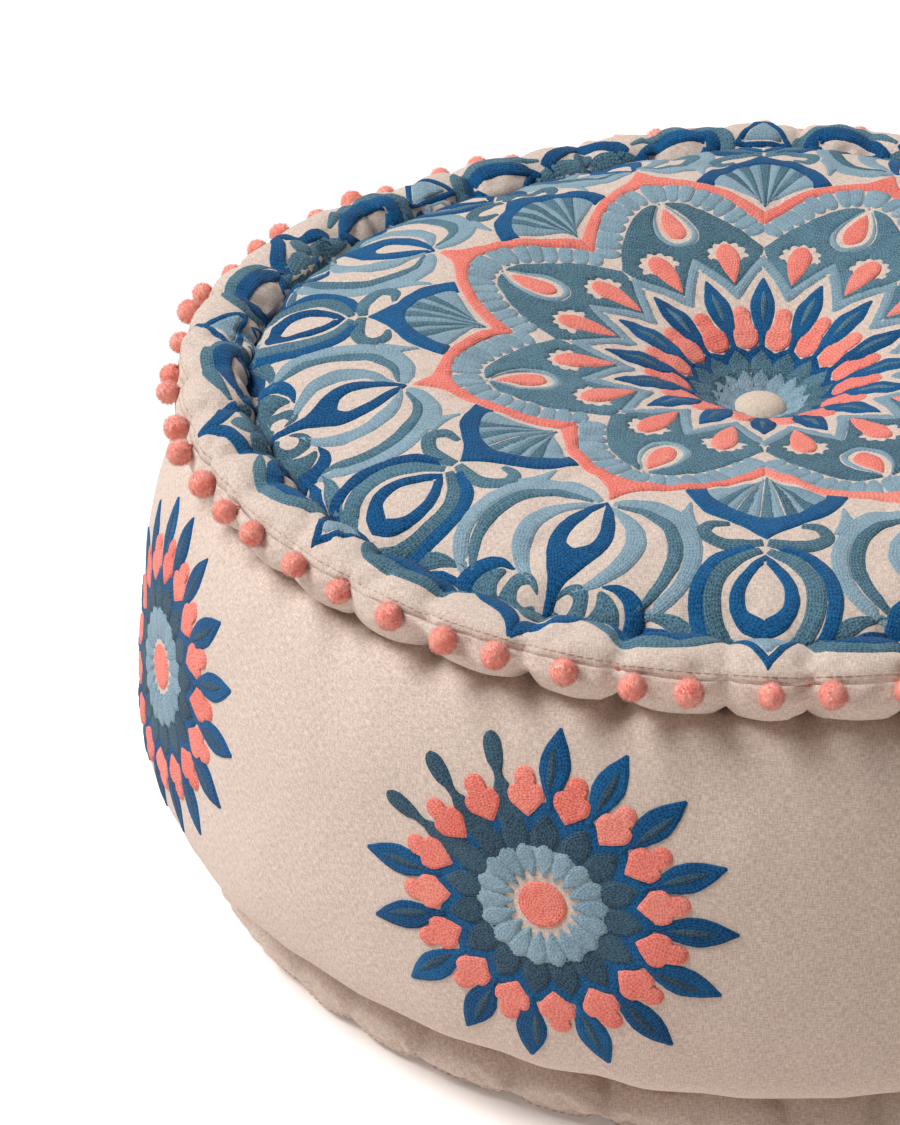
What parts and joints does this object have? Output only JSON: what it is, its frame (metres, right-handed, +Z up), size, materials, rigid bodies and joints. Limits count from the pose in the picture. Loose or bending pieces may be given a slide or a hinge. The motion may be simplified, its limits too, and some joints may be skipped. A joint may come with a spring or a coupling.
{
  "type": "floor cushion",
  "caption": "Round tufted floor cushion with a domed embroidered top, bulging sides, rolled edges at top and base, and a pompom trim.",
  "frame": {"origin": "centre of the underside, on the floor", "axes": "+Z up along the cushion's axis; +X to the right of a viewer who looks along +Y"},
  "size_m": [0.6588, 0.6588, 0.2834],
  "materials": {
    "linen_cloth": "plain-woven linen and cotton, matt",
    "button_cloth": "plain-woven linen and cotton, matt, stretched over a dome",
    "padding": "loose polyester and cotton filling",
    "linen_thread": "waxed cotton thread, matt",
    "button_steel": "plated steel, satin",
    "coral_wool": "fluffy wool, matt",
    "coral_thread": "wool chain stitch, matt",
    "navy_thread": "wool chain stitch, matt",
    "slate_thread": "wool chain stitch, matt",
    "pale_thread": "wool chain stitch, matt"
  },
  "bodies": {
    "root": {"top_panel": "linen_cloth", "side_band": "linen_cloth", "bottom_panel": "linen_cloth", "fill_core": "padding", "top_roll_fill": "padding", "bottom_roll_fill": "padding", "top_roll_stitches": "linen_thread", "bottom_roll_stitches": "linen_thread", "top_seam_thread": "linen_thread", "bottom_seam_thread": "linen_thread", "tufting_twine": "linen_thread", "top_button_cap": "button_cloth", "bottom_button_cap": "button_cloth", "top_button_back": "button_steel", "top_button_eye": "button_steel", "bottom_button_back": "button_steel", "bottom_button_eye": "button_steel", "pompom_tape": "coral_wool", "pompom_loops": "coral_wool", "pompoms": "coral_wool", "mandala_coral_thread": "coral_thread", "mandala_navy_thread": "navy_thread", "mandala_slate_thread": "slate_thread", "mandala_pale_thread": "pale_thread", "medallion_coral_thread": "coral_thread", "medallion_navy_thread": "navy_thread", "medallion_slate_thread": "slate_thread", "medallion_pale_thread": "pale_thread"}
  },
  "joints": []
}
